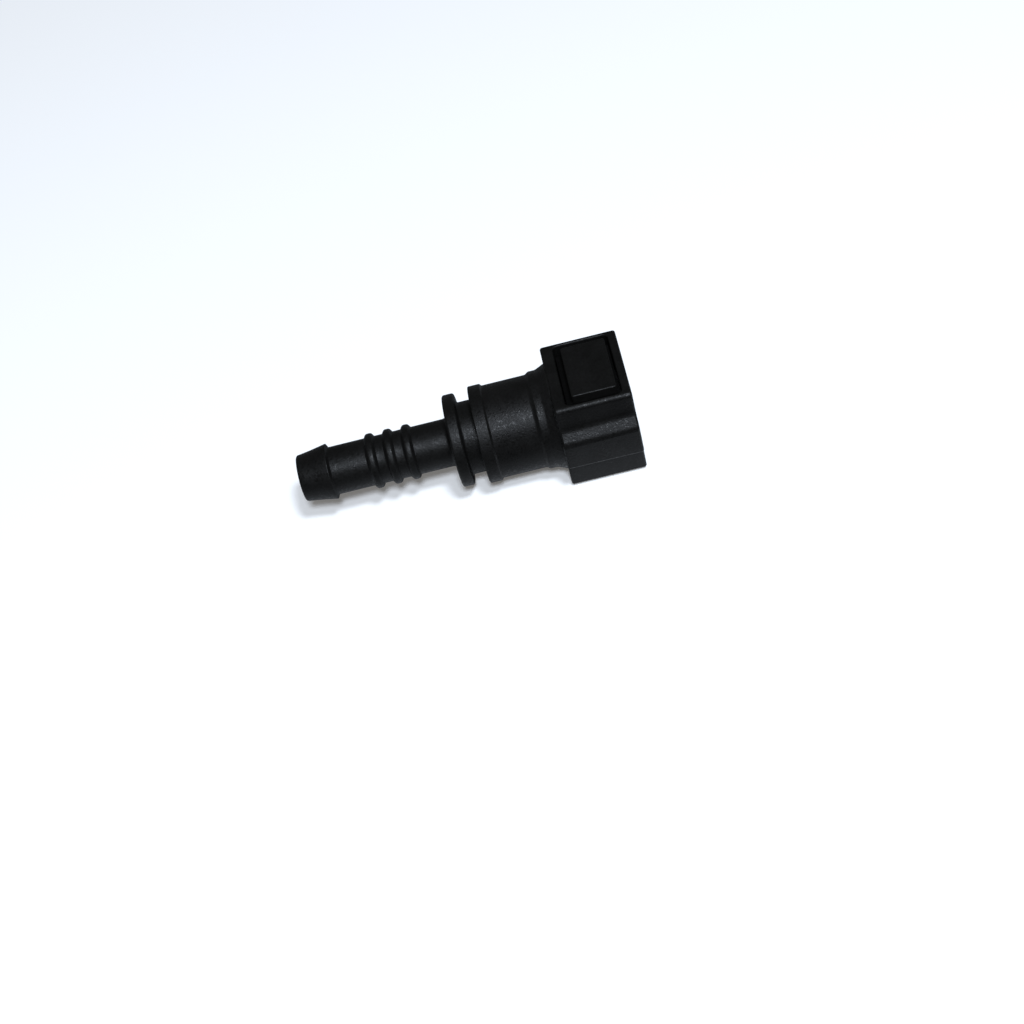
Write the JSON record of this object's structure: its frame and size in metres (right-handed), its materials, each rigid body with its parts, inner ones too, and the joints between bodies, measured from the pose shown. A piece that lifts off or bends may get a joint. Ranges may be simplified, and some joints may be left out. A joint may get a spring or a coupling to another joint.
{
  "type": "fuel hose connector",
  "caption": "Straight push-on connector: a barbed hose stem, a round sealed body and a square head with squeeze buttons that release a beaded metal fuel tube.",
  "frame": {"origin": "centre of the mouth, in the plane of the mouth face", "axes": "+X out of the mouth along the bore, so the hose stem runs towards -X; +Z is the normal of the upper button; Y runs from one side bulge to the other"},
  "size_m": [0.058, 0.0204, 0.0188],
  "materials": {
    "housing_nylon": "black glass-filled nylon, moulded, fine even grain",
    "retainer_nylon": "black nylon, moulded, satin",
    "spacer_nylon": "black nylon, moulded, smooth",
    "seal_rubber": "black seal rubber, lightly oiled"
  },
  "bodies": {
    "housing": {"housing": "housing_nylon", "inner_o_ring": "seal_rubber", "spacer_ring": "spacer_nylon", "outer_o_ring": "seal_rubber", "retaining_bush": "spacer_nylon"},
    "upper_button": {"upper_button": "retainer_nylon"},
    "lower_button": {"lower_button": "retainer_nylon"},
    "front_latch": {"front_latch": "retainer_nylon"},
    "rear_latch": {"rear_latch": "retainer_nylon"}
  },
  "joints": [
    {"name": "upper_press", "type": "slide", "parent": "housing", "child": "upper_button", "axis": [0, 0, -1], "range_m": [0, 0.001], "stiffness_N_per_m": 5000},
    {"name": "lower_press", "type": "slide", "parent": "housing", "child": "lower_button", "axis": [0, 0, 1], "range_m": [0, 0.001], "stiffness_N_per_m": 5000},
    {"name": "front_spread", "type": "slide", "parent": "housing", "child": "front_latch", "axis": [0, -1, 0], "range_m": [0, 0.001], "stiffness_N_per_m": 1000},
    {"name": "rear_spread", "type": "slide", "parent": "housing", "child": "rear_latch", "axis": [0, 1, 0], "range_m": [0, 0.001], "stiffness_N_per_m": 1000}
  ],
  "couplings": [
    {"joint": "lower_press", "follows": "upper_press", "ratio": 1},
    {"joint": "front_spread", "follows": "upper_press", "ratio": 1},
    {"joint": "rear_spread", "follows": "upper_press", "ratio": 1}
  ]
}
